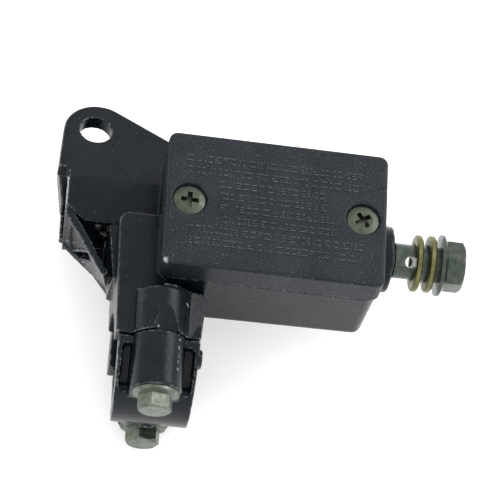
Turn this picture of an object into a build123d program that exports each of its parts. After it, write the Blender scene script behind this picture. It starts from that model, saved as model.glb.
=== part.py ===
from build123d import *
import math
import os

# Handlebar brake master cylinder.
# Origin: on the axis of the handlebar bore, CLAMP_MID from the clamp's middle.
# +X runs along the cylinder towards the banjo port, +Y points forward, away
# from the rider, and +Z is up, square to the reservoir cap. The handlebar
# bore rises towards +X by BAR_RISE against the cylinder.
# All lengths are in millimetres and all angles in degrees.

os.makedirs("parts", exist_ok=True)

# ---- driving dimensions ---------------------------------------------------
# handlebar clamp
BAR_R = 11.1
CLAMP_R = 17.6
CLAMP_LEFT = -10.8
CLAMP_RIGHT = 11.0
FLARE = 0.9
CAP_TAPER = 0.5
CAP_LEAN = 2.6
CLAMP_MID = 0.8
PAD_LEFT = -12.5
PAD_NEAR = -11.4
PAD_TOP = 17.6
PAD_BOTTOM = -6.0
PAD_FRONT = 34.2
CLAMP_TILT = 7.0
BAR_RISE = 2.2
SPLIT_GAP = 0.5
BOLT_SPREAD = 16.5
LOWER_SHIFT = -0.1
TOWER_R = 6.9
UPPER_SEAT = 15.2
LOWER_SEAT = 13.2

# M6 flange bolts
BOLT_R = 3.0
BOLT_HOLE_R = 3.06
BOLT_FLANGE_R = 6.2
BOLT_FLANGE = 1.5
BOLT_HEX = 8.4
BOLT_HEAD = 5.4
BOLT_TURN = 45.0
BOLT_LENGTH = 24.0

# cylinder barrel
BARREL_Y = 38.3
BARREL_R = 9.1
BORE_R = 6.35
MOUTH_X = -8.0
MOUTH_R = 7.7
SHOULDER_X = -4.2
BORE_END_X = 47.0
BOSS_X = 64.0
PORT_R = 5.06
PORT_DEPTH = 12.5
CIRCLIP_X = -5.8
CIRCLIP_W = 1.1
GROOVE_R = 8.3

# reservoir and its cap
RES_LEFT = -1.2
RES_RIGHT = 57.6
RES_REAR = 14.9
RES_FRONT = 53.8
CAP_TOP = 28.0
CAP_BOTTOM = 19.7
JOINT_Z = 19.0
RES_BOTTOM_LEFT = -5.2
RES_BOTTOM_RIGHT = -3.6
WALL = 3.4
DRAFT = 2.0
CAP_LIP = 0.35
SCREW_SPAN = 46.8
SCREW_HEAD_R = 4.25
SCREW_R = 2.0
SCREW_HOLE_R = 2.06
SCREW_LENGTH = 15.0
COUNTERBORE_R = 4.65
COUNTERBORE = 1.1

# lever perch
PERCH_TILT = 12.0
PIVOT_X = -19.25
PIVOT_TOP_Y = 63.4
PIVOT_TOP_Z = 7.73
PIVOT_R = 4.4
EAR_R = 9.5
EAR_SHIFT = (0.75, -0.6)
EAR = 4.4
EAR_GAP = 12.6
ROLL_LENGTH = 16.85
ROLL_LEFT = -26.0
PLATE_BOTTOM = -5.2
SLOT_FLOOR = -4.5
SLOT_ROOF = 6.2

# banjo bolt and washers, measured along X from the boss face
HEAD_FACE = 13.4
BANJO_FLANGE_R = 8.4
BANJO_FLANGE = 1.9
BANJO_HEX = 12.2
BANJO_HEAD = 6.9
BANJO_SHANK_R = 4.8
BANJO_LENGTH = 22.0
BANJO_PITCH = 1.25
WASHER_R = 7.8
WASHER_HOLE_R = 5.15
WASHER = 1.8
WASHER_X = (7.4, 11.0)

# piston
PISTON_R = 6.3
ROD_R = 4.2
ROD_TIP_X = -17.0
SPRING_MEAN_R = 4.3
SPRING_WIRE_R = 0.55
SPRING_TURNS = 8

RES_MID_X = (RES_LEFT + RES_RIGHT) / 2
RES_MID_Y = (RES_REAR + RES_FRONT) / 2
SCREW_X = (RES_MID_X - SCREW_SPAN / 2, RES_MID_X + SCREW_SPAN / 2)


# ---- helpers --------------------------------------------------------------
def box(x0, x1, y0, y1, z0, z1):
    """A box between two corners."""
    middle = Pos((x0 + x1) / 2, (y0 + y1) / 2, (z0 + z1) / 2)
    return middle * Box(x1 - x0, y1 - y0, z1 - z0)


def rod_x(radius, x0, x1, y=BARREL_Y, z=0.0):
    """A cylinder along X."""
    return Pos((x0 + x1) / 2, y, z) * Rot(0, 90, 0) * Cylinder(radius, x1 - x0)


def rod_y(radius, y0, y1, x=0.0, z=0.0):
    """A cylinder along Y."""
    return Pos(x, (y0 + y1) / 2, z) * Rot(90, 0, 0) * Cylinder(radius, y1 - y0)


def rod_z(radius, z0, z1, x=0.0, y=0.0):
    """A cylinder along Z."""
    return Pos(x, y, (z0 + z1) / 2) * Cylinder(radius, z1 - z0)


def turned(points):
    """Spin a profile of (distance, radius) points around the X axis."""
    face = make_face(Polyline(*[(x, r, 0) for x, r in points], close=True))
    return revolve(face, Axis.X)


def prism(points, z0, z1):
    """Extrude a polygon of (x, y) points from z0 to z1."""
    face = make_face(Polyline(*[(x, y, z0) for x, y in points], close=True))
    return extrude(face, z1 - z0, dir=(0, 0, 1))


def soften(part, radius, edges):
    """Fillet the chosen edges of a part."""
    return fillet(edges, radius) if edges else part


def tilt_clamp(part):
    """Lean a clamp part from its own frame onto the bar and the split."""
    return Rot(0, -BAR_RISE, 0) * Rot(CLAMP_TILT, 0, 0) * Pos(CLAMP_MID, 0, 0) * part


def tilt_perch(part):
    """Move a perch part from its own frame, whose Z starts at the upper
    ear's top face and whose Y runs forward from the pivot."""
    place = Pos(PIVOT_X, PIVOT_TOP_Y, PIVOT_TOP_Z)
    return place * Rot(-PERCH_TILT, 0, 0) * part


# ---- reservoir cap --------------------------------------------------------
def screw_points():
    return [Pos(x, RES_MID_Y, 0) for x in SCREW_X]


def reservoir_cap():
    length = RES_RIGHT - RES_LEFT + 2 * CAP_LIP
    width = RES_FRONT - RES_REAR + 2 * CAP_LIP
    height = CAP_TOP - CAP_BOTTOM
    middle = Pos(RES_MID_X, RES_MID_Y, (CAP_TOP + CAP_BOTTOM) / 2)
    cap = middle * Box(length, width, height)
    cap = soften(cap, 2.4, cap.edges().filter_by(Axis.Z))
    cap = soften(cap, 0.6, cap.faces().sort_by(Axis.Z)[-1].edges())
    inner = box(SCREW_X[0] + 5.2, SCREW_X[1] - 5.2, RES_REAR + 4, RES_FRONT - 4,
                CAP_BOTTOM, CAP_TOP - 2.8)
    cap -= soften(inner, 2.0, inner.edges().filter_by(Axis.Z))
    seat = box(SCREW_X[0] + 4.0, SCREW_X[1] - 4.0, RES_REAR + 2.8, RES_FRONT - 2.8,
               CAP_BOTTOM, CAP_BOTTOM + 1.1)
    cap -= soften(seat, 2.0, seat.edges().filter_by(Axis.Z))
    floor = CAP_TOP - COUNTERBORE
    cone = SCREW_HEAD_R - SCREW_R
    for place in screw_points():
        cap -= place * rod_z(COUNTERBORE_R, floor, CAP_TOP + 1)
        cap -= place * rod_z(SCREW_R + 0.3, CAP_BOTTOM - 1, CAP_TOP)
        taper = Cone(SCREW_R + 0.3, SCREW_HEAD_R + 0.3, cone)
        cap -= place * Pos(0, 0, floor - cone / 2) * taper
    return cap


def cap_screw(place, turn):
    """M4 countersunk screw with a raised head and a cross recess."""
    top = CAP_TOP - COUNTERBORE + 0.55
    cone = SCREW_HEAD_R - SCREW_R
    rim = CAP_TOP - COUNTERBORE
    profile = [
        (rim - SCREW_LENGTH, 0), (rim - SCREW_LENGTH, SCREW_R - 0.5),
        (rim - SCREW_LENGTH + 0.5, SCREW_R), (rim - cone, SCREW_R), (rim, SCREW_HEAD_R),
        (rim + 0.2, SCREW_HEAD_R), (top - 0.05, SCREW_HEAD_R - 1.5), (top, 0),
    ]
    screw = Rot(0, -90, 0) * turned(profile)
    arm = box(-2.35, 2.35, -0.66, 0.66, top - 1.9, top + 1)
    cross = arm + Rot(0, 0, 90) * arm
    return place * (screw - Rot(0, 0, turn) * cross)


# ---- reservoir internals --------------------------------------------------
DIAPHRAGM_BOX = (SCREW_X[0] + 6.0, SCREW_X[1] - 6.0, RES_REAR + 6.0, RES_FRONT - 6.0)
DIAPHRAGM_FLOOR = 12.9
RUBBER = 1.1


def reservoir_diaphragm():
    """Rubber hat whose flange seals the cap joint."""
    x0, x1, y0, y1 = DIAPHRAGM_BOX
    flange = box(RES_LEFT + 0.7, RES_RIGHT - 0.7, RES_REAR + 0.7, RES_FRONT - 0.7,
                 JOINT_Z, CAP_BOTTOM)
    flange = soften(flange, 3.0, flange.edges().filter_by(Axis.Z))
    hat = box(x0, x1, y0, y1, DIAPHRAGM_FLOOR, CAP_BOTTOM)
    hat = soften(hat, 4.0, hat.edges().filter_by(Axis.Z))
    inside = box(x0 + RUBBER, x1 - RUBBER, y0 + RUBBER, y1 - RUBBER,
                 DIAPHRAGM_FLOOR + RUBBER, CAP_BOTTOM + 1)
    inside = soften(inside, 2.9, inside.edges().filter_by(Axis.Z))
    rubber = flange + hat - inside
    for place in screw_points():
        rubber -= place * rod_z(SCREW_R + 0.4, JOINT_Z - 1, CAP_BOTTOM + 1)
    return rubber


def diaphragm_plate():
    """Stiff plate that spreads the cap's load on the diaphragm."""
    plate = box(SCREW_X[0] + 4.2, SCREW_X[1] - 4.2, RES_REAR + 3.0, RES_FRONT - 3.0,
                CAP_BOTTOM, CAP_BOTTOM + 1.0)
    plate = soften(plate, 1.9, plate.edges().filter_by(Axis.Z))
    window = box(SCREW_X[0] + 8.5, SCREW_X[1] - 8.5, RES_REAR + 8.5, RES_FRONT - 8.5,
                 CAP_BOTTOM - 1, CAP_BOTTOM + 2)
    return plate - soften(window, 2.5, window.edges().filter_by(Axis.Z))


SPLASH = (9.5, 31.5, BARREL_Y - 5.0, BARREL_Y + 5.0)
SPLASH_Z = 10.2


def splash_plate():
    """Small steel plate that bridges the ports on two folded feet."""
    x0, x1, y0, y1 = SPLASH
    top = box(x0, x1, y0, y1, SPLASH_Z + 1.2, SPLASH_Z + 1.9)
    plate = top
    for foot_x in (x0, x1 - 0.7):
        plate += box(foot_x, foot_x + 0.7, y0, y1, SPLASH_Z, SPLASH_Z + 1.9)
    for slot_x in (x0 + 6, x1 - 6):
        plate -= rod_z(1.2, SPLASH_Z, SPLASH_Z + 3, slot_x, BARREL_Y)
    return plate


# ---- cylinder body --------------------------------------------------------
def reservoir_shell():
    """Outer block of the reservoir, drafted towards its bottom."""
    outline = Rectangle(RES_RIGHT - RES_LEFT, RES_FRONT - RES_REAR)
    outline = fillet(outline.vertices(), 3.2)
    face = Pos(RES_MID_X, RES_MID_Y, JOINT_Z) * Rot(180, 0, 0) * outline
    shell = extrude(face, JOINT_Z - RES_BOTTOM_LEFT + 2, taper=DRAFT)
    slope = math.degrees(math.atan2(RES_BOTTOM_RIGHT - RES_BOTTOM_LEFT, RES_RIGHT - RES_LEFT))
    below = Pos(RES_LEFT, 0, RES_BOTTOM_LEFT) * Rot(0, -slope, 0) * box(-20, 90, 0, 80, -20, 0)
    shell -= below
    return soften(shell, 2.6, shell.faces().sort_by(Axis.Z)[0].edges())


def reservoir_cavity():
    """Fluid space, with a column left at each cap screw."""
    cavity = box(RES_LEFT + WALL, RES_RIGHT - WALL, RES_REAR + WALL, RES_FRONT - WALL,
                 2.0, JOINT_Z + 1)
    cavity = soften(cavity, 3.0, cavity.edges().filter_by(Axis.Z))
    for side, x in zip((-1, 1), SCREW_X):
        column = rod_z(4.2, 0, JOINT_Z + 2, x, RES_MID_Y)
        column += box(min(x, x + 6 * side), max(x, x + 6 * side),
                      RES_MID_Y - 4.2, RES_MID_Y + 4.2, 0, JOINT_Z + 2)
        cavity -= column
    return cavity


PLATEAU = [(0, -8.0), (0, 23.0), (3.4, 22.0), (6.0, 19.4), (7.6, 17.9), (13.0, 16.4), (13.0, -8.0)]
PLATEAU_FRONT = 13.2


def plateau():
    """Shoulder from the upper tower to the clamp's right end, drawn as (x, z)."""
    face = make_face(Polyline(*[(x, 0, z) for x, z in PLATEAU], close=True))
    return extrude(face, PLATEAU_FRONT, dir=(0, 1, 0))


def clamp_half():
    """Body half of the handlebar clamp, in the clamp's own frame."""
    ring = rod_x(CLAMP_R, CLAMP_LEFT, CLAMP_RIGHT + FLARE, 0, 0)
    ring += box(0, CLAMP_RIGHT + FLARE, 4.0, 15.0, -8.0, 11.0)
    outline = prism([(CLAMP_LEFT, 0), (CLAMP_RIGHT, 0), (CLAMP_RIGHT + FLARE, 12.0),
                     (CLAMP_RIGHT + FLARE, 40), (CLAMP_LEFT, 40)], -40, 40)
    half = (ring + plateau()) & outline & box(-40, 40, SPLIT_GAP / 2, 40, -40, 40)
    upper = rod_y(TOWER_R, SPLIT_GAP / 2, 12.4, 0, BOLT_SPREAD)
    upper = soften(upper, 0.9, upper.edges().sort_by(Axis.Y)[-1])
    shoulder = box(-TOWER_R, 1.0, SPLIT_GAP / 2, 12.4, 8.0, BOLT_SPREAD + 3.4)
    shoulder = soften(shoulder, 1.8, shoulder.edges().filter_by(Axis.Y).group_by(Axis.Z)[-1]
                      .sort_by(Axis.X)[0])
    upper += shoulder
    lower = rod_y(TOWER_R, SPLIT_GAP / 2, 14.0, LOWER_SHIFT, -BOLT_SPREAD)
    lower = soften(lower, 2.0, lower.edges().sort_by(Axis.Y)[-1])
    return half + upper + lower


def clamp_drillings():
    """Blind M6 holes for the clamp bolts, in the clamp's own frame."""
    upper = rod_y(BOLT_HOLE_R, -1, BOLT_LENGTH - UPPER_SEAT + 1.2, 0, BOLT_SPREAD)
    lower = rod_y(BOLT_HOLE_R, -1, BOLT_LENGTH - LOWER_SEAT + 1.2, LOWER_SHIFT, -BOLT_SPREAD)
    return upper + lower


def casting_scoop():
    """Shallow arched hollow on top of the upper tower, at the split."""
    rise = Pos(2.3, 0, BOLT_SPREAD + 10.6) * Rot(21, 0, 0)
    tool = rise * rod_y(6.0, -8, 16)
    return tool & box(-20, 20, SPLIT_GAP / 2, 20, 0, 40)


def pad_outline(z):
    """Plan of the pad at one height; its left side follows the clamp's end."""
    shift = (PAD_TOP - z) * math.tan(math.radians(BAR_RISE))
    corners = [(PAD_NEAR + shift, -4.0), (1.0, -4.0), (1.0, PAD_FRONT), (PAD_LEFT + shift, PAD_FRONT)]
    return make_face(Polyline(*[(x, y, z) for x, y in corners], close=True))


def pad():
    """Raised block that joins the clamp to the barrel and the perch."""
    block = loft([pad_outline(PAD_BOTTOM), pad_outline(PAD_TOP)], ruled=True)
    block &= Rot(CLAMP_TILT, 0, 0) * box(-40, 40, SPLIT_GAP / 2, 60, -60, 60)
    corner = block.edges().filter_by(lambda e: abs(e.center().Y - PAD_FRONT) < 0.1)
    block = fillet(corner.sort_by(Axis.X)[0], 3.0)
    rim = block.faces().sort_by(Axis.Z)[-1].edges().sort_by(Axis.Y)[1:]
    block = fillet(rim, 0.7)
    step = [(PAD_LEFT - 1.5, PAD_FRONT), (-12.2, 18.6), (-9.0, 18.6), (-9.0, PAD_FRONT)]
    return block + prism(step, PLATE_BOTTOM, 8.6)


def ear(left_rear, right_front, radius):
    """One flat ear around the pivot, its top face at zero."""
    corners = Polyline(left_rear, (right_front[0], left_rear[1]), right_front)
    outline = make_hull((Pos(*EAR_SHIFT) * Circle(radius)).edges() + corners.edges())
    plate = extrude(outline, -EAR)
    plate = fillet(plate.edges().group_by(Axis.Z)[-1], 0.6)
    root = box(ROLL_LEFT - PIVOT_X, right_front[0], -ROLL_LENGTH - 0.5, left_rear[1] + 1.0,
               -EAR, 0)
    return plate + root


def roll_profile():
    """Side view of the rolled bridge between the ears and the pad."""
    crease_y = PIVOT_TOP_Y - ROLL_LENGTH * math.cos(math.radians(PERCH_TILT))
    crease_z = PIVOT_TOP_Z + ROLL_LENGTH * math.sin(math.radians(PERCH_TILT))
    rear_y = 35.0
    rear_z = crease_z - 3.3
    middle = ((crease_y + rear_y) / 2, (crease_z + rear_z) / 2 + 0.95)
    return (crease_y, crease_z), middle, (rear_y, rear_z)


def roll(left, right):
    """Solid bridge over the slot, with a convex top."""
    crease, middle, rear = roll_profile()
    front_low = (crease[0], PLATE_BOTTOM - 1.2)
    rear_low = (rear[0], PLATE_BOTTOM - 1.2)
    top = ThreePointArc((left, *crease), (left, *middle), (left, *rear))
    sides = Polyline((left, *rear), (left, *rear_low), (left, *front_low), (left, *crease))
    return extrude(make_face([top, sides]), right - left, dir=(1, 0, 0))


WEB_TOP = [(-26.3, 37.4), (-20.7, 28.0), (-14.9, 18.6)]
WEB_FOOT = [(-25.2, 33.7), (-19.4, 28.4), (-12.4, 22.2)]
RIM_INNER = [(-25.0, 38.2), (-18.8, 29.2), (-14.2, 18.8)]
WEB = 1.8
WEB_Z = 8.4
RIM = 1.6
WEB_LEAN = 0.72
PLATE_TOP = -3.4
WEB_PLANE = Plane(origin=(-20.5, 29.0, 0), x_dir=(0.64, -0.77, 0), z_dir=(-0.77, -0.64, 0))
PANEL = [(-6.0, 6.6), (-5.2, 1.1), (-3.4, -2.8), (2.2, 6.6)]
POCKET = [(-2.5, -3.1), (3.3, 6.4), (4.6, 3.2), (-0.2, -3.1)]


def arc_band(outer, inner, z):
    """Plan between two arcs at one height."""
    lines = [
        ThreePointArc(*outer),
        Line(outer[2], inner[2]),
        ThreePointArc(*inner[::-1]),
        Line(inner[0], outer[0]),
    ]
    return Pos(0, 0, z) * make_face(lines)


def web_face(points, proud, thickness, z):
    """Plan of the curved web at one height."""
    step = thickness * WEB_LEAN
    outer = [(x - proud * WEB_LEAN, y - proud * WEB_LEAN) for x, y in points]
    return arc_band(outer, [(x + step, y + step) for x, y in outer], z)


def web_wall(proud, thickness):
    """The web's leaning wall, or a skin of it."""
    foot = web_face(WEB_FOOT, proud, thickness, PLATE_BOTTOM)
    return loft([foot, web_face(WEB_TOP, proud, thickness, WEB_Z)], ruled=True)


def across_web(points):
    """Cutter through the web with an outline drawn on its mean plane."""
    outline = make_face(Polyline(*points, close=True))
    return WEB_PLANE * (Pos(0, 0, -5.0) * extrude(outline, 10.0))


def curved_web():
    """Web that sweeps from the perch's left end to the clamp. It has a rim
    along its top, a sunk panel, and a drain pocket above the plate it stands on."""
    web = web_wall(0, WEB)
    rim = extrude(arc_band(WEB_TOP, RIM_INNER, WEB_Z - RIM), RIM, dir=(0, 0, 1))
    panel = web_wall(0.5, 1.1) & across_web(PANEL)
    plate = prism([(-25.2, 33.4), (-17.0, 26.0), (-9.0, 24.9), (-9.0, 33.4)],
                  PLATE_BOTTOM, PLATE_TOP)
    gusset = prism([(-18.2, 29.2), (-16.2, 27.6), (-10.9, 20.6), (-9.2, 20.6), (-9.2, 22.6),
                    (-14.8, 29.2)], PLATE_BOTTOM - 3.4, PLATE_BOTTOM)
    return web - panel + rim - across_web(POCKET) + plate + gusset


def perch():
    """Lever perch: two ears, the rolled bridge and the web behind them."""
    upper = tilt_perch(ear((-9.75, -14.35), (20.3, -0.95), EAR_R))
    lower_drop = Pos(0.4, 0, -EAR - EAR_GAP)
    lower = tilt_perch(lower_drop * ear((-7.0, -13.4), (20.3, -0.95), EAR_R - 0.5))
    bridge = roll(ROLL_LEFT, 1.0)
    corner = prism([(ROLL_LEFT - 1, 32.0), (ROLL_LEFT - 1, 39.3), (-16.6, 32.0)], -4.0, 20.0)
    floor = box(-25.0, MOUTH_X, 33.0, 49.0, PLATE_BOTTOM - 1.2, SLOT_FLOOR)
    mouth = rod_x(MOUTH_R + 1.4, -13.2, MOUTH_X)
    return upper + lower + (bridge - corner) + floor + mouth


def lever_slot():
    """Room for the lever between the ears and in front of the piston."""
    gap = tilt_perch(box(-30, PIVOT_X * -1 + MOUTH_X, -ROLL_LENGTH - 1, 30,
                         -EAR - EAR_GAP, -EAR))
    inner = box(-40, MOUTH_X, 36.5, 49.0, SLOT_FLOOR, SLOT_ROOF)
    middle = box(-22.0, MOUTH_X, 33.0, 37.0, SLOT_FLOOR, SLOT_ROOF)
    return gap + inner + middle


def barrel_bores():
    """Cylinder bore, its mouth, the fluid drillings and the hose port."""
    cut = rod_x(BORE_R, SHOULDER_X - 1, BORE_END_X)
    cut += rod_x(MOUTH_R, -13.5, SHOULDER_X)
    cut += rod_x(GROOVE_R, CIRCLIP_X - 0.05, CIRCLIP_X + CIRCLIP_W + 0.05)
    cut += rod_x(1.5, BORE_END_X - 1, BOSS_X - PORT_DEPTH)
    cut += rod_x(PORT_R, BOSS_X - PORT_DEPTH, BOSS_X + 1)
    cut += rod_z(0.5, 0, 12, 23.6, BARREL_Y)
    cut += rod_z(1.6, 0, 12, 10.0, BARREL_Y)
    return cut


def cylinder_body():
    shell = reservoir_shell() - reservoir_cavity()
    barrel = rod_x(BARREL_R, MOUTH_X - 0.5, BOSS_X)
    barrel = soften(barrel, 0.8, barrel.edges().sort_by(Axis.X)[-1])
    saddle = box(SPLASH[0] - 1, SPLASH[1] + 1, SPLASH[2] - 1, SPLASH[3] + 1, 0, SPLASH_Z)
    saddle -= rod_x(BORE_R, SPLASH[0] - 2, SPLASH[1] + 2)
    core = tilt_clamp(clamp_half()) + pad() + perch()
    core -= box(RES_LEFT + 2, RES_RIGHT - 2, RES_REAR + 2, RES_FRONT - 2, 2.0, 40)
    body = core + shell + barrel + saddle
    body -= lever_slot()
    body += curved_web()
    body -= barrel_bores()
    body -= tilt_clamp(clamp_drillings() + casting_scoop() + bar_bore())
    body -= tilt_perch(rod_z(PIVOT_R, -40, 5))
    for place in screw_points():
        body -= place * rod_z(SCREW_HOLE_R, 10.6, JOINT_Z + 1)
    return body


# ---- clamp cap and its bolts ----------------------------------------------
CLAMP_BOLTS = ((0.0, BOLT_SPREAD, UPPER_SEAT), (LOWER_SHIFT, -BOLT_SPREAD, LOWER_SEAT))


def bar_bore():
    """The handlebar's space, in the clamp's own frame."""
    return rod_x(BAR_R, CLAMP_LEFT - 8, CLAMP_RIGHT + 8, 0, 0)


def clamp_cap():
    """Rider's half of the clamp, built in the clamp's own frame."""
    ring = rod_x(CLAMP_R, CLAMP_LEFT - 1, CLAMP_RIGHT + 1, 0, 0)
    narrow = CAP_TAPER * 40 / CLAMP_R
    taper = prism([(CLAMP_LEFT, 0), (CLAMP_LEFT + narrow, -40), (CLAMP_RIGHT - narrow, -40),
                   (CLAMP_RIGHT, 0)], -40, 40)
    cap = ring & taper & box(-40, 40, -40, -SPLIT_GAP / 2, -40, 40)
    cap -= Pos(CLAMP_LEFT, 0, CLAMP_R) * Rot(0, -CAP_LEAN, 0) * box(-20, 0, -40, 0, -60, 20)
    core = rod_x(CLAMP_R - 2.8, CLAMP_LEFT - 1, CLAMP_RIGHT + 1, 0, 0)
    for x, z, seat in CLAMP_BOLTS:
        low = min(0.55 * z, 2 * z)
        high = max(0.55 * z, 2 * z)
        for x0, x1 in ((CLAMP_LEFT + 1.3, x - TOWER_R + 0.9), (x + TOWER_R - 0.9, CLAMP_RIGHT - 1.3)):
            groove = box(x0, x1, -seat + 1.6, -2.4, low, high)
            groove = soften(groove, 1.4, groove.edges().filter_by(Axis.Z))
            cap -= groove - core
        tower = rod_y(TOWER_R, -seat, -SPLIT_GAP / 2, x, z)
        root = box(x - TOWER_R, x + TOWER_R, -seat, -SPLIT_GAP / 2, min(z, 0.6 * z),
                   max(z, 0.6 * z))
        cap += soften(tower, 0.6, tower.edges().sort_by(Axis.Y)[0])
        cap += soften(root, 0.6, root.edges().filter_by(Axis.Z).sort_by(Axis.Y)[:2])
    lip = Pos(0.0, 0, 0) * Rot(22, 0, 0) * rod_y(1.9, -CLAMP_R - 0.8, -CLAMP_R + 2)
    cap += soften(lip, 0.4, lip.edges().sort_by(Axis.Y)[0])
    pip = rod_x(2.6, CLAMP_RIGHT - 1, CLAMP_RIGHT + 0.8, -4.2, 14.2)
    cap += soften(pip, 0.5, pip.edges().sort_by(Axis.X)[-1])
    for x, z, seat in CLAMP_BOLTS:
        cap -= rod_y(BOLT_R + 0.3, -40, 1, x, z)
        cap -= rod_y(BOLT_FLANGE_R + 0.4, -40, -seat, x, z)
    return tilt_clamp(cap - bar_bore())


def clamp_bolt(x, z, seat):
    """M6 flange bolt, its head towards the rider."""
    shank = rod_y(BOLT_R, -seat, -seat + BOLT_LENGTH, x, z)
    shank = chamfer(shank.edges().sort_by(Axis.Y)[-1], 0.6)
    place = Pos(x, -seat, z)
    rim = BOLT_FLANGE
    profile = [(0, 0), (0, BOLT_FLANGE_R), (0.7, BOLT_FLANGE_R), (rim, BOLT_FLANGE_R - 1.9),
               (rim, 0)]
    flange = place * Rot(0, 0, -90) * turned(profile)
    hexagon = RegularPolygon(BOLT_HEX / 2, 6, major_radius=False)
    hexagon = place * Rot(90, 0, 0) * Rot(0, 0, BOLT_TURN) * hexagon
    head = extrude(hexagon, BOLT_HEAD, dir=(0, -1, 0))
    crown = [(0, 0), (0, 8), (BOLT_HEAD - 1.4, 5.6), (BOLT_HEAD, 3.9), (BOLT_HEAD, 0)]
    head &= place * Rot(0, 0, -90) * turned(crown)
    return tilt_clamp(shank + flange + head)


# ---- piston group ---------------------------------------------------------
def on_barrel(part):
    return Pos(0, BARREL_Y, 0) * part


def piston():
    profile = [
        (ROD_TIP_X, 0), (ROD_TIP_X, 1.6), (ROD_TIP_X + 1.2, 3.0), (ROD_TIP_X + 3.0, ROD_R),
        (-13.0, ROD_R), (-13.0, ROD_R - 0.7), (-11.6, ROD_R - 0.7), (-11.6, ROD_R),
        (SHOULDER_X, ROD_R), (SHOULDER_X, PISTON_R), (-1.2, PISTON_R), (-1.2, 4.6),
        (2.2, 4.6), (2.2, PISTON_R), (3.6, PISTON_R), (4.4, 4.0), (15.6, 4.0),
        (16.4, PISTON_R), (18.2, PISTON_R), (18.2, 2.6), (21.6, 2.6), (21.6, 0),
    ]
    return on_barrel(turned(profile))


def primary_cup():
    """Rubber cup whose lip faces the pressure side."""
    profile = [(18.7, 2.65), (18.7, 5.6), (19.2, 6.2), (20.6, 5.9), (22.9, 6.28),
               (22.9, 5.5), (20.9, 4.6), (20.5, 2.65)]
    return on_barrel(turned(profile))


def secondary_cup():
    profile = [(-1.1, 4.65), (-1.1, 5.7), (-0.7, 6.1), (0.4, 5.9), (2.0, 6.28),
               (2.0, 5.7), (0.9, 5.2), (0.5, 4.65)]
    return on_barrel(turned(profile))


def piston_shim():
    ring = rod_x(5.6, 18.25, 18.65) - rod_x(2.65, 18, 19)
    return ring


def spring_seat():
    """Pressed steel cup on the piston's nose that centres the spring."""
    profile = [(20.6, 2.65), (20.6, 3.2), (22.6, 3.2), (22.6, 5.1), (23.2, 5.1),
               (23.2, 2.65)]
    return on_barrel(turned(profile))


def return_spring():
    start = 23.25 + SPRING_WIRE_R
    length = BORE_END_X - 0.05 - SPRING_WIRE_R - start
    path = Helix(length / SPRING_TURNS, length, SPRING_MEAN_R)
    face = Plane(origin=path @ 0, z_dir=path % 0) * Circle(SPRING_WIRE_R)
    coil = sweep(face, path=path)
    return Pos(start, BARREL_Y, 0) * Rot(0, 90, 0) * coil


def piston_stop_washer():
    return rod_x(7.55, -4.65, SHOULDER_X - 0.02) - rod_x(4.5, -6, -3)


def circlip():
    """Internal circlip with two eyes."""
    ring = rod_x(8.2, CIRCLIP_X, CIRCLIP_X + CIRCLIP_W) - rod_x(6.6, -10, 0)
    ring -= box(-10, 0, BARREL_Y + 2, BARREL_Y + 12, -2.0, 2.0)
    for z in (-3.6, 3.6):
        eye = rod_x(1.5, CIRCLIP_X, CIRCLIP_X + CIRCLIP_W, BARREL_Y + 5.6, z)
        ring += eye - rod_x(0.7, -10, 0, BARREL_Y + 5.6, z)
    return ring


def dust_boot():
    """Bellows from the barrel's mouth to the groove near the rod's tip."""
    outer = [(-6.0, 7.6), (-7.4, 7.6), (-7.8, 6.4), (-8.8, 7.2), (-9.8, 5.8), (-10.8, 6.4),
             (-11.4, 5.2), (-13.0, 5.0)]
    inner = [(-13.0, 4.25), (-11.4, 4.4), (-10.8, 5.4), (-9.8, 4.9), (-8.8, 6.1),
             (-7.8, 5.5), (-7.4, 6.0), (-6.0, 6.0)]
    return on_barrel(turned(outer + inner))


# ---- banjo bolt and washers -----------------------------------------------
def banjo_bolt():
    """M10 banjo bolt, entered a few turns, drilled for the fluid."""
    seat = BOSS_X + HEAD_FACE
    tip = seat - BANJO_LENGTH
    profile = [(tip, 0), (tip, 3.9)]
    thread_end = seat - 12.9
    turns = int((thread_end - tip - 0.8) / BANJO_PITCH)
    for n in range(turns):
        x = tip + 0.8 + n * BANJO_PITCH
        profile += [(x, 4.35), (x + 0.5, 5.0), (x + 0.7, 5.0), (x + BANJO_PITCH - 0.1, 4.35)]
    profile += [(thread_end, 4.4), (thread_end + 0.3, 4.4), (thread_end + 0.6, BANJO_SHANK_R),
                (seat, BANJO_SHANK_R), (seat, BANJO_FLANGE_R), (seat + 0.9, BANJO_FLANGE_R),
                (seat + BANJO_FLANGE, BANJO_FLANGE_R - 1.6), (seat + BANJO_FLANGE, 0)]
    bolt = on_barrel(turned(profile))
    hexagon = RegularPolygon(BANJO_HEX / 2, 6, major_radius=False)
    hexagon = Pos(seat, BARREL_Y, 0) * Rot(9, 0, 0) * Rot(0, 90, 0) * hexagon
    head = extrude(hexagon, BANJO_HEAD, dir=(1, 0, 0))
    crown = [(seat, 0), (seat, 8), (seat + BANJO_HEAD - 0.9, 7.2), (seat + BANJO_HEAD, 5.9),
             (seat + BANJO_HEAD, 0)]
    bolt += head & on_barrel(turned(crown))
    bolt -= rod_x(1.9, tip - 1, BOSS_X + 6.2)
    bolt -= Pos(BOSS_X + 5.4, BARREL_Y, 0) * Rot(28.7, 0, 0) * Cylinder(1.65, 20)
    return bolt


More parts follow.
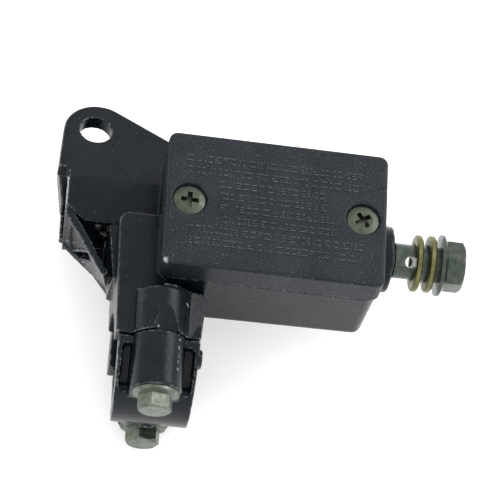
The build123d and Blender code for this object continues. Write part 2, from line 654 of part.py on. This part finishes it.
def crush_washer(x, drop):
    """Soft washer with rounded rims."""
    half = WASHER / 2
    middle = (WASHER_R + WASHER_HOLE_R) / 2
    profile = [(x - half, middle - 0.9), (x - half, middle + 0.9), (x - 0.5, WASHER_R),
               (x + 0.5, WASHER_R), (x + half, middle + 0.9), (x + half, middle - 0.9),
               (x + 0.5, WASHER_HOLE_R), (x - 0.5, WASHER_HOLE_R)]
    ring = on_barrel(turned([(BOSS_X + a, r) for a, r in profile]))
    return Pos(0, 0, -drop) * ring


# ---- write every node -----------------------------------------------------
NODES = {
    "cylinder_body": cylinder_body(),
    "clamp_cap": clamp_cap(),
    "clamp_bolt_upper": clamp_bolt(*CLAMP_BOLTS[0]),
    "clamp_bolt_lower": clamp_bolt(*CLAMP_BOLTS[1]),
    "reservoir_cap": reservoir_cap(),
    "cap_screw_left": cap_screw(screw_points()[0], -2),
    "cap_screw_right": cap_screw(screw_points()[1], 36),
    "diaphragm_plate": diaphragm_plate(),
    "reservoir_diaphragm": reservoir_diaphragm(),
    "splash_plate": splash_plate(),
    "banjo_bolt": banjo_bolt(),
    "crush_washer_inner": crush_washer(WASHER_X[0], 0.3),
    "crush_washer_outer": crush_washer(WASHER_X[1], 0),
    "piston": piston(),
    "primary_cup": primary_cup(),
    "secondary_cup": secondary_cup(),
    "piston_shim": piston_shim(),
    "spring_seat": spring_seat(),
    "return_spring": return_spring(),
    "piston_stop_washer": piston_stop_washer(),
    "circlip": circlip(),
    "dust_boot": dust_boot(),
}

for name, shape in NODES.items():
    export_step(shape, "parts/" + name + ".step")
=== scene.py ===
import math
import random

import bmesh
import bpy
from mathutils import Matrix, Vector


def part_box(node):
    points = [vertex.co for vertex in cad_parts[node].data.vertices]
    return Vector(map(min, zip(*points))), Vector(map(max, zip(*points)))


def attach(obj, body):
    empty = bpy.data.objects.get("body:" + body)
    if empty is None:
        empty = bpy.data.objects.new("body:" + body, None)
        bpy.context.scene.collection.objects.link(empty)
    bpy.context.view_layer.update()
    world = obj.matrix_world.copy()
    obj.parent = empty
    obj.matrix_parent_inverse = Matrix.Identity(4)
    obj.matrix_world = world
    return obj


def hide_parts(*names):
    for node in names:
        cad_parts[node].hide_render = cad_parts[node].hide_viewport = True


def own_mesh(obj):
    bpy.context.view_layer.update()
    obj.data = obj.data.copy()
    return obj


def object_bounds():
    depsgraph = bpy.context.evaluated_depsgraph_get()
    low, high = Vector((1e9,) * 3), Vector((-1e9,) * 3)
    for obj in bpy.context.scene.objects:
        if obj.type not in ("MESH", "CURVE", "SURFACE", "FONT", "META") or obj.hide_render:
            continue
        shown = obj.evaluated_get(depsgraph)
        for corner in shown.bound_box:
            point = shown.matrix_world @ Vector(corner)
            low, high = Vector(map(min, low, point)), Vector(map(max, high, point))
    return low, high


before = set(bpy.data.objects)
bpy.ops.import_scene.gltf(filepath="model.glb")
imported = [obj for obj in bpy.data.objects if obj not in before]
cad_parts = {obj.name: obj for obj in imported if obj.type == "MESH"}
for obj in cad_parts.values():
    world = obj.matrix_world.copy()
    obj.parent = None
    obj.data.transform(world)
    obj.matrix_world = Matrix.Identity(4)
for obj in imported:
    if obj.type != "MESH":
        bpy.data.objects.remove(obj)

CAD_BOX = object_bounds()
MM = 0.001

# ---- camera -----------------------------------------------------------------------------------
VIEW_FROM = Vector((-0.128, -0.4755, 0.870))
VIEW_UP = Vector((-0.116, 0.879, 0.463))
VIEW_AIM = Vector((24.1, 30.8, 10.0)) * MM
VIEW_DISTANCE = 1.16
LENS = 311.0
SENSOR = 36.0
NEAR_CLIP = 0.05


def make_camera():
    """A long lens from above and from the rider's side, a little from the left."""
    back = VIEW_FROM.normalized()
    right = VIEW_UP.cross(back).normalized()
    up = back.cross(right)
    camera = bpy.data.objects.new("camera", bpy.data.cameras.new("camera"))
    bpy.context.scene.collection.objects.link(camera)
    turn = Matrix((right, up, back)).transposed().to_4x4()
    camera.matrix_world = Matrix.Translation(VIEW_AIM + back * VIEW_DISTANCE) @ turn
    camera.data.lens = LENS
    camera.data.sensor_width = SENSOR
    camera.data.clip_start = NEAR_CLIP
    bpy.context.scene.camera = camera


# ---- studio -----------------------------------------------------------------------------------
WHITE = (1.0, 1.0, 1.0, 1.0)
SKY = 1.42
FLOOR_GLOW = 0.28
FLOOR_SIZE = 6.0
FLOOR_GAP = 0.3 * MM
KEY_SIZE = 0.70
KEY_POWER = 5.4
KEY_RIGHT = 0.66
KEY_AHEAD = 0.42
KEY_HEIGHT = 0.72


def make_key_light(target):
    """A soft round light to the right, ahead and above."""
    light = bpy.data.lights.new("key", "AREA")
    light.shape = "DISK"
    light.size = KEY_SIZE
    light.energy = KEY_POWER
    place = Vector((target.x + KEY_RIGHT, target.y + KEY_AHEAD, KEY_HEIGHT))
    lamp = bpy.data.objects.new("key", light)
    bpy.context.scene.collection.objects.link(lamp)
    lamp.location = place
    lamp.rotation_euler = (target - place).to_track_quat("-Z", "Y").to_euler()


def make_studio():
    """A white floor and sky, and the key light."""
    low, high = CAD_BOX
    middle = (low + high) / 2
    under = (middle.x, middle.y, low.z - FLOOR_GAP)
    bpy.ops.mesh.primitive_plane_add(size=FLOOR_SIZE, location=under)
    floor = bpy.context.object
    floor.name = "floor"
    floor.data.materials.append(floor_paper())
    world = bpy.data.worlds.new("studio")
    world.use_nodes = True
    background = world.node_tree.nodes["Background"]
    background.inputs["Color"].default_value = WHITE
    background.inputs["Strength"].default_value = SKY
    bpy.context.scene.world = world
    make_key_light(middle)
    bpy.context.scene.view_settings.view_transform = "Standard"


# ---- node helpers -----------------------------------------------------------------------------
class Shader:
    """A material and short ways to add its nodes."""

    def __init__(self, name):
        self.material = bpy.data.materials.new(name)
        self.material.use_nodes = True
        self.tree = self.material.node_tree
        self.surface = self.tree.nodes["Principled BSDF"]
        self.coords = self.tree.nodes.new("ShaderNodeTexCoord").outputs["Object"]

    def link(self, output, target):
        self.tree.links.new(output, target)

    def node(self, kind, **values):
        made = self.tree.nodes.new(kind)
        for key, value in values.items():
            setattr(made, key, value)
        return made

    def texture(self, kind, values, **kinds):
        """A texture node in object coordinates, with its sockets set."""
        made = self.node(kind, **kinds)
        self.link(self.coords, made.inputs["Vector"])
        for socket, value in values.items():
            made.inputs[socket].default_value = value
        return made.outputs

    def noise(self, size, detail=4.0, roughness=0.6):
        """Noise whose features are about size metres across."""
        values = {"Scale": 1.0 / size, "Detail": detail, "Roughness": roughness}
        return self.texture("ShaderNodeTexNoise", values)["Fac"]

    def cells(self, size):
        return self.texture("ShaderNodeTexVoronoi", {"Scale": 1.0 / size})["Distance"]

    def bands(self, axis, per_mm, distortion, detail_scale=1.0):
        values = {"Scale": per_mm / MM, "Distortion": distortion, "Detail Scale": detail_scale}
        kinds = {"wave_type": "BANDS", "bands_direction": axis}
        return self.texture("ShaderNodeTexWave", values, **kinds)["Fac"]

    def spread(self, value, low, high, to_low=0.0, to_high=1.0):
        made = self.node("ShaderNodeMapRange")
        self.link(value, made.inputs["Value"])
        made.inputs["From Min"].default_value = low
        made.inputs["From Max"].default_value = high
        made.inputs["To Min"].default_value = to_low
        made.inputs["To Max"].default_value = to_high
        return made.outputs["Result"]

    def gloss(self, size, low, high):
        """Roughness that wanders between low and high."""
        return self.spread(self.noise(size), *NOISE_RANGE, low, high)

    def mix(self, share, first, second):
        """A colour between two, each a colour or an output."""
        made = self.node("ShaderNodeMix", data_type="RGBA")
        self.link(share, made.inputs["Factor"])
        for value, socket in ((first, made.inputs["A"]), (second, made.inputs["B"])):
            if isinstance(value, tuple):
                socket.default_value = (*value, 1.0)
            else:
                self.link(value, socket)
        return made.outputs["Result"]

    def times(self, first, second):
        made = self.node("ShaderNodeMath", operation="MULTIPLY")
        self.link(first, made.inputs[0])
        if isinstance(second, float):
            made.inputs[1].default_value = second
        else:
            self.link(second, made.inputs[1])
        return made.outputs[0]

    def inside(self, axis, low, high, soft=0.4 * MM):
        """1 between two places along an axis, fading out over soft."""
        split = self.node("ShaderNodeSeparateXYZ")
        self.link(self.coords, split.inputs[0])
        place = split.outputs[axis]
        rise = self.spread(place, low - soft, low + soft)
        fall = self.spread(place, high - soft, high + soft, 1.0, 0.0)
        return self.times(rise, fall)

    def region(self, across, along, upright):
        """1 inside a box, given by its two places along X, Y and Z."""
        flat = self.times(self.inside("X", *across), self.inside("Y", *along))
        return self.times(flat, self.inside("Z", *upright))

    def dusted(self, tone, low, high, size):
        """Sparse pale specks over a tone."""
        specks = self.spread(self.noise(size, 2.0, 0.4), low, high)
        return self.mix(self.times(specks, DUST_SHARE), tone, DUST_AND_GLINT)

    def worn_and_highlit_edges(self, tone, curve, size, broken_from, share):
        """Pale bare-metal colour along the mesh's convex edges, in broken lines: partly paint
        worn through, partly a painted highlight along the rounded edges.
        """
        point = self.node("ShaderNodeNewGeometry").outputs["Pointiness"]
        broken = self.spread(self.noise(size), broken_from, BROKEN_TO)
        edge = self.times(self.spread(point, *curve), broken)
        return self.mix(self.times(edge, share), tone, BARE_AND_HIGHLIGHT)

    def bump(self, height, depth, strength=1.0, below=None):
        made = self.node("ShaderNodeBump")
        made.inputs["Strength"].default_value = strength
        made.inputs["Distance"].default_value = depth
        self.link(height, made.inputs["Height"])
        if below is not None:
            self.link(below, made.inputs["Normal"])
        return made.outputs["Normal"]

    def wear(self, colour, rough, normal=None, metal=None, shine=None):
        """The finished material."""
        self.link(colour, self.surface.inputs["Base Color"])
        self.link(rough, self.surface.inputs["Roughness"])
        if normal is not None:
            self.link(normal, self.surface.inputs["Normal"])
        if metal is not None:
            self.surface.inputs["Metallic"].default_value = metal
        if shine is not None:
            self.surface.inputs["Specular IOR Level"].default_value = shine
        return self.material


# ---- materials --------------------------------------------------------------------------------
# Each pair of tones is one material's two extremes.
FLOOR_TONES = ((0.90, 0.90, 0.90), (0.92, 0.92, 0.92))
CASTING_TONES = ((0.0015, 0.0036, 0.0062), (0.006, 0.009, 0.0125))
CAP_TONES = ((0.004, 0.0062, 0.010), (0.013, 0.0165, 0.0225))
RUBBER_TONES = ((0.012, 0.012, 0.013), (0.024, 0.024, 0.025))
PLASTIC_TONES = ((0.62, 0.62, 0.58), (0.72, 0.72, 0.68))
ZINC_TONES = ((0.066, 0.082, 0.062), (0.165, 0.178, 0.15))
SCREW_TONES = ((0.044, 0.052, 0.038), (0.084, 0.092, 0.072))
DARK_PLATE_TONES = ((0.036, 0.048, 0.04), (0.082, 0.097, 0.082))
BRASS_TONES = ((0.095, 0.09, 0.037), (0.165, 0.157, 0.07))
STEEL_TONES = ((0.55, 0.56, 0.57), (0.42, 0.43, 0.44))
# the piston's metal made near-black: painted shade for its shadowed place in the bore
SHADE_DARK_ALLOY_TONES = ((0.06, 0.06, 0.06), (0.035, 0.035, 0.036))

NOISE_RANGE = (0.3, 0.7)
BROKEN_TO = 0.60
# pale colour for dust specks, and for the painted glints on the cap's grain
DUST_AND_GLINT = (0.20, 0.20, 0.19)
DUST_SHARE = 0.5
# pale edge colour: bare metal where paint wears through, and painted highlights along rounded
# edges
BARE_AND_HIGHLIGHT = (0.42, 0.44, 0.45)
CHIP = (0.36, 0.38, 0.40)
GRIME_SHARE = 0.35
GRIME_TONE = 0.35
CASTING_SHINE = 0.16
CAP_SHINE = 0.17
# painted sheen that lightens the raised marks on the cap
MARK_SHEEN = 0.22

# the rippled top of the pad beside the clamp
PAD_X = (-12.0 * MM, -3.5 * MM)
PAD_Y = (12.0 * MM, 32.0 * MM)
PAD_Z = (17.0 * MM, 18.4 * MM)

# the chipped corner of the reservoir cap
cap_low, cap_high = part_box("reservoir_cap")
CHIP_X = (cap_low.x - 1.0 * MM, cap_low.x + 1.2 * MM)
CHIP_Y = (cap_low.y - 1.0 * MM, cap_low.y + 1.3 * MM)
CHIP_Z = (cap_high.z - 1.3 * MM, cap_high.z + 1.0 * MM)


def floor_paper():
    """White paper that glows a little, so that shadows on it stay faint."""
    made = Shader("floor_paper")
    made.surface.inputs["Emission Color"].default_value = WHITE
    made.surface.inputs["Emission Strength"].default_value = FLOOR_GLOW
    tone = made.mix(made.noise(0.4, 2.0), *FLOOR_TONES)
    return made.wear(tone, made.spread(made.noise(0.02), 0.0, 1.0, 0.85, 0.95))


def casting_paint():
    """Semi-gloss black paint on a sand-cast skin, worn thin along its edges, with painted
    highlights along those edges too.
    """
    made = Shader("casting_paint")
    tone = made.mix(made.spread(made.noise(6.0 * MM, 5.0), 0.35, 0.75), *CASTING_TONES)
    tone = made.dusted(tone, 0.735, 0.765, 0.55 * MM)
    # edges lightened: partly wear, partly painted highlight
    tone = made.worn_and_highlit_edges(tone, (0.515, 0.56), 0.9 * MM, 0.44, 0.55)
    peel = made.bump(made.noise(1.1 * MM, 3.0, 0.55), 0.07 * MM, 0.65)
    grit = made.bump(made.noise(0.35 * MM, 3.0), 0.02 * MM, 0.45, peel)
    ripple = made.times(made.bands("Y", 0.28, 6.0, 1.6), made.region(PAD_X, PAD_Y, PAD_Z))
    skin = made.bump(ripple, 0.02 * MM, 0.4, grit)
    return made.wear(tone, made.gloss(1.6 * MM, 0.20, 0.32), skin, shine=CASTING_SHINE)


def cap_paint(name="cap_paint", sheen=0.0):
    """Fine leathery black finish of the reservoir cap, with pale specks painted in as glints off
    its grain; its second argument lightens it further, as a painted sheen.
    """
    made = Shader(name)
    tone = made.mix(made.spread(made.noise(9.0 * MM), 0.3, 0.75), *CAP_TONES)
    # pale specks painted in as glints off the leathery grain, raised by the painted sheen
    painted_glint = made.spread(made.noise(0.5 * MM, 3.0), 0.52, 0.72, sheen, sheen + 0.16)
    tone = made.dusted(made.mix(painted_glint, tone, DUST_AND_GLINT), 0.72, 0.76, 0.5 * MM)
    # edges lightened: partly wear, partly painted highlight
    tone = made.worn_and_highlit_edges(tone, (0.56, 0.66), 0.8 * MM, 0.46, 0.6)
    tone = made.mix(made.region(CHIP_X, CHIP_Y, CHIP_Z), tone, CHIP)
    leather = made.bump(made.noise(0.6 * MM, 3.0, 0.65), 0.11 * MM, 0.85)
    grain = made.bump(made.cells(0.42 * MM), 0.02 * MM, 0.5, leather)
    return made.wear(tone, made.gloss(0.8 * MM, 0.34, 0.50), grain, shine=CAP_SHINE)


def plated(name, tones, rough, metal=0.85):
    """Dull plate with cloudy patches and fine scratches."""
    made = Shader(name)
    tone = made.mix(made.spread(made.noise(2.2 * MM, 5.0, 0.65), 0.35, 0.68), *tones)
    grime = made.times(made.spread(made.noise(0.8 * MM, 3.0), 0.60, 0.75), GRIME_SHARE)
    tone = made.mix(grime, tone, tuple(part * GRIME_TONE for part in tones[0]))
    fine = made.bump(made.noise(0.25 * MM, 3.0), 0.012 * MM, 0.5)
    return made.wear(tone, made.gloss(0.9 * MM, *rough), fine, metal)


def rubber():
    made = Shader("seal_rubber")
    tone = made.mix(made.noise(2.0 * MM), *RUBBER_TONES)
    skin = made.bump(made.noise(0.3 * MM), 0.015 * MM, 0.5)
    return made.wear(tone, made.gloss(0.6 * MM, 0.55, 0.75), skin)


def turned_metal(name, tones):
    """Metal with fine turning marks across X."""
    made = Shader(name)
    tone = made.mix(made.noise(1.8 * MM), *tones)
    rings = made.bump(made.bands("X", 1.1, 0.6), 0.008 * MM, 0.5)
    return made.wear(tone, made.gloss(0.7 * MM, 0.22, 0.38), rings, 1.0)


def moulded_plastic():
    made = Shader("moulded_plastic")
    tone = made.mix(made.noise(3.0 * MM), *PLASTIC_TONES)
    return made.wear(tone, made.gloss(1.0 * MM, 0.4, 0.55))


# ---- soft-edged castings ----------------------------------------------------------------------
VOXEL = 0.26 * MM
WELD = 0.002 * MM
SOFTEN = 0.5
CASTING_STEPS = 5
CAP_STEPS = 3


def welded_copy(node, name):
    """A closed copy of a CAD node's mesh, its split vertices joined."""
    copy = bpy.data.objects.new(name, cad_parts[node].data.copy())
    bpy.context.scene.collection.objects.link(copy)
    work = bmesh.new()
    work.from_mesh(copy.data)
    bmesh.ops.remove_doubles(work, verts=work.verts, dist=WELD)
    work.to_mesh(copy.data)
    work.free()
    copy.data.materials.clear()
    return copy


def finish_mesh(mesh, material):
    for face in mesh.polygons:
        face.use_smooth = True
    mesh.materials.clear()
    mesh.materials.append(material)


def cast(node, name, material, steps):
    """A casting's piece: the CAD shape with edges rounded as sand and paint leave them."""
    piece = welded_copy(node, name)
    remesh = piece.modifiers.new("remesh", "REMESH")
    remesh.mode = "VOXEL"
    remesh.voxel_size = VOXEL
    soft = piece.modifiers.new("soften", "SMOOTH")
    soft.factor = SOFTEN
    soft.iterations = steps
    graph = bpy.context.evaluated_depsgraph_get()
    final = bpy.data.meshes.new_from_object(piece.evaluated_get(graph))
    piece.modifiers.clear()
    piece.data = final
    finish_mesh(final, material)
    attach(piece, "cylinder")
    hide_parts(node)


# ---- raised marks on the cap ------------------------------------------------------------------
MARK_HEIGHT = 0.26 * MM
MARK_WIDTH = 0.38 * MM
MARK_SIDES = 8
# each ring of a mark: its share of the width, and its height over the cap
MARK_RINGS = ((1.0, -0.05 * MM), (0.82, MARK_HEIGHT * 0.75), (0.45, MARK_HEIGHT))
MARK_SEED = 7
ROWS = range(-4, 4)
ROW_PITCH = 3.55 * MM
LEFT_MARGIN = 5.0 * MM
RIGHT_MARGIN = 6.0 * MM
RAGGED = 2.5
SCREW_ROOM = 7.2 * MM
STROKE_GAP = 1.55 * MM
STROKE_LENGTHS = (0.15, 0.5, 0.9, 1.3)
STROKE_SPACES = (0.75, 0.85, 1.5)
STROKE_CHANCE = 0.9
MIDDLE_CHANCE = 0.35
MIDDLE_SHARE = 0.4


def add_pill(work, start, length, z):
    """A low rounded bar along X, part of the raised pattern."""
    radius = MARK_WIDTH / 2
    rings = []
    for shrink, rise in MARK_RINGS:
        ring = []
        for side, centre in ((1, start.x + length), (-1, start.x)):
            for step in range(MARK_SIDES + 1):
                angle = math.pi * (step / MARK_SIDES - 0.5)
                x = centre + side * radius * shrink * math.cos(angle)
                y = start.y + side * radius * shrink * math.sin(angle)
                ring.append(work.verts.new((x, y, z + rise)))
        rings.append(ring)
    count = len(rings[0])
    for lower, upper in zip(rings, rings[1:]):
        for i in range(count):
            j = (i + 1) % count
            work.faces.new((lower[i], lower[j], upper[j], upper[i]))
    work.faces.new(rings[-1])
    work.faces.new(rings[0][::-1])


def mark_rows():
    """Starts and lengths of the raised dashes, kept away from the screws and the rim."""
    draw = random.Random(MARK_SEED)
    low, high = cap_low, cap_high
    screws = [sum(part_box(n), Vector()) / 2 for n in ("cap_screw_left", "cap_screw_right")]
    middle = (low + high) / 2
    dashes = []
    for row in ROWS:
        y = middle.y + (row + 0.5) * ROW_PITCH
        near = abs(y - middle.y) < SCREW_ROOM
        x = (screws[0].x + SCREW_ROOM) if near else low.x + LEFT_MARGIN
        end = (screws[1].x - SCREW_ROOM) if near else high.x - RIGHT_MARGIN
        x += draw.uniform(0.0, RAGGED) * MM
        end -= draw.uniform(0.0, RAGGED) * MM
        while x < end:
            length = draw.choice(STROKE_LENGTHS) * MM
            for side in (-0.5, 0.5):
                if draw.random() < STROKE_CHANCE:
                    dashes.append((Vector((x, y + side * STROKE_GAP, 0.0)), length))
            if draw.random() < MIDDLE_CHANCE:
                dashes.append((Vector((x, y, 0.0)), length * MIDDLE_SHARE))
            x += length + draw.choice(STROKE_SPACES) * MM
    return dashes


def cap_marks(material):
    """Rows of raised dashes and dots, a plain pattern that spells nothing."""
    work = bmesh.new()
    for start, length in mark_rows():
        add_pill(work, start, length, cap_high.z)
    mesh = bpy.data.meshes.new("cap_marks")
    work.to_mesh(mesh)
    work.free()
    finish_mesh(mesh, material)
    piece = bpy.data.objects.new("cap_marks", mesh)
    bpy.context.scene.collection.objects.link(piece)
    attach(piece, "cylinder")


def squashed_copy(node, name, material):
    """A welded copy of a CAD part in its material, attached to the cylinder body, with the CAD
    part hidden.
    """
    piece = welded_copy(node, name)
    finish_mesh(piece.data, material)
    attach(piece, "cylinder")
    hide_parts(node)
    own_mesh(piece)


# ---- put it together --------------------------------------------------------------------------
make_camera()
make_studio()

paint = casting_paint()
zinc = plated("zinc_plate", ZINC_TONES, (0.28, 0.46))
screw_zinc = plated("screw_zinc", SCREW_TONES, (0.30, 0.48))
dark_zinc = plated("dark_plate", DARK_PLATE_TONES, (0.22, 0.40))
brass = plated("washer_metal", BRASS_TONES, (0.30, 0.50), 0.9)
steel = turned_metal("plain_steel", STEEL_TONES)
alloy = turned_metal("turned_alloy", SHADE_DARK_ALLOY_TONES)
seal = rubber()

LOOKS = {
    "clamp_bolt_upper": zinc,
    "clamp_bolt_lower": zinc,
    "cap_screw_left": screw_zinc,
    "cap_screw_right": screw_zinc,
    "diaphragm_plate": moulded_plastic(),
    "reservoir_diaphragm": seal,
    "splash_plate": steel,
    "banjo_bolt": dark_zinc,
    "crush_washer_inner": brass,
    "crush_washer_outer": brass,
    # near-black piston: painted shade of the bore it sits in
    "piston": alloy,
    "primary_cup": seal,
    "secondary_cup": seal,
    "piston_shim": steel,
    "spring_seat": steel,
    "piston_stop_washer": steel,
    "circlip": steel,
}
for node, look in LOOKS.items():
    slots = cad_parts[node].data.materials
    slots.clear()
    slots.append(look)

cast("cylinder_body", "body_casting", paint, CASTING_STEPS)
cast("clamp_cap", "clamp_cap_casting", paint, CASTING_STEPS)
cast("reservoir_cap", "cap_casting", cap_paint(), CAP_STEPS)
# the raised marks are lightened by a painted sheen
cap_marks(cap_paint("mark_paint", MARK_SHEEN))
squashed_copy("return_spring", "spring_coil", steel)
squashed_copy("dust_boot", "boot_bellows", seal)
